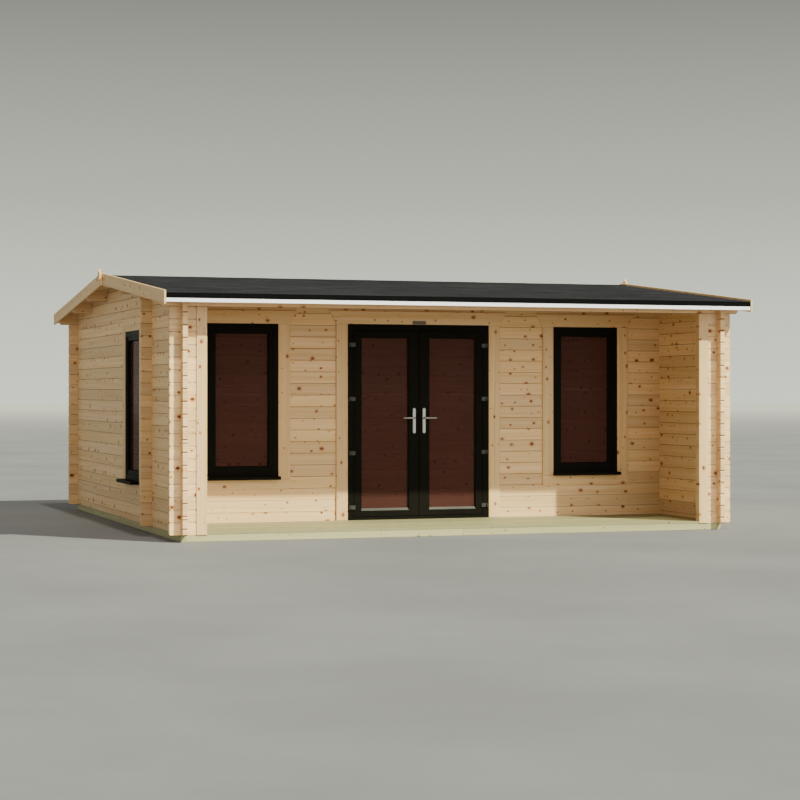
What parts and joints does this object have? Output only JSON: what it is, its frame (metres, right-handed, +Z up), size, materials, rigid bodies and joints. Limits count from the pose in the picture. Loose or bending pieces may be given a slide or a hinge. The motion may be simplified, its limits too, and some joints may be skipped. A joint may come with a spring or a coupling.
{
  "type": "log cabin",
  "caption": "Square-log garden cabin with a low gable roof, a porch under the same roof between side wall wings, glazed double doors and tall windows.",
  "frame": {"origin": "centre of the footprint at ground level, under the base beams", "axes": "+X to the right seen from the front, +Y from the front to the back, +Z up"},
  "size_m": [5.9006, 5.91, 2.5963],
  "materials": {
    "wall_log": "planed pine or spruce",
    "roof_timber": "planed pine or spruce",
    "trim_board": "planed pine or spruce",
    "treated_timber": "pressure treated, pale green",
    "roofing_felt": "bitumen felt, matt",
    "edge_metal": "black, satin",
    "white_board": "white paint, satin",
    "black_frame": "near-black frame profile, satin",
    "glass_unit": "double glazing, clear",
    "hinge_metal": "grey, satin",
    "handle_metal": "satin silver"
  },
  "bodies": {
    "cabin": {"base_beams": "treated_timber", "porch_deck": "treated_timber", "room_floor": "treated_timber", "left_wall": "wall_log", "right_wall": "wall_log", "back_wall": "wall_log", "front_wall_left": "wall_log", "front_wall_right": "wall_log", "front_wall_over_door": "wall_log", "left_corner_logs": "wall_log", "right_corner_logs": "wall_log", "left_post": "trim_board", "right_post": "trim_board", "front_eave_beam": "roof_timber", "rear_eave_beam": "roof_timber", "ridge_purlin": "roof_timber", "slope_purlins": "roof_timber", "roof_boards": "roof_timber", "roof_covering": "roofing_felt", "eave_boards": "white_board", "edge_trims": "edge_metal", "left_bargeboards": "trim_board", "right_bargeboards": "trim_board", "ridge_plates": "trim_board", "left_window_frame": "black_frame", "right_window_frame": "black_frame", "gable_window_frame": "black_frame", "window_glass": "glass_unit", "left_window_trim": "trim_board", "right_window_trim": "trim_board", "gable_window_trim": "trim_board", "door_frame": "black_frame", "door_trim": "trim_board", "door_badge": "hinge_metal", "frame_hinges": "hinge_metal"},
    "left_door": {"left_leaf": "black_frame", "left_leaf_glass": "glass_unit", "left_leaf_hinges": "hinge_metal", "left_handle_plates": "handle_metal"},
    "right_door": {"right_leaf": "black_frame", "right_leaf_glass": "glass_unit", "right_leaf_hinges": "hinge_metal", "right_handle_plates": "handle_metal"},
    "left_lever": {"left_lever": "handle_metal"},
    "right_lever": {"right_lever": "handle_metal"}
  },
  "joints": [
    {"name": "left_door_swing", "type": "hinge", "parent": "cabin", "child": "left_door", "pos_m": [-0.727, -1.458, 1], "axis": [0, 0, -1], "range_deg": [0, 100]},
    {"name": "right_door_swing", "type": "hinge", "parent": "cabin", "child": "right_door", "pos_m": [0.727, -1.458, 1], "axis": [0, 0, 1], "range_deg": [0, 100]},
    {"name": "left_lever_turn", "type": "hinge", "parent": "left_door", "child": "left_lever", "pos_m": [-0.052, -1.416, 1.0883], "axis": [0, -1, 0], "range_deg": [0, 40], "stiffness_Nm_per_rad": 1.5, "springref_deg": -17.19},
    {"name": "right_lever_turn", "type": "hinge", "parent": "right_door", "child": "right_lever", "pos_m": [0.052, -1.416, 1.0883], "axis": [0, 1, 0], "range_deg": [0, 40], "stiffness_Nm_per_rad": 1.5, "springref_deg": -17.19}
  ]
}
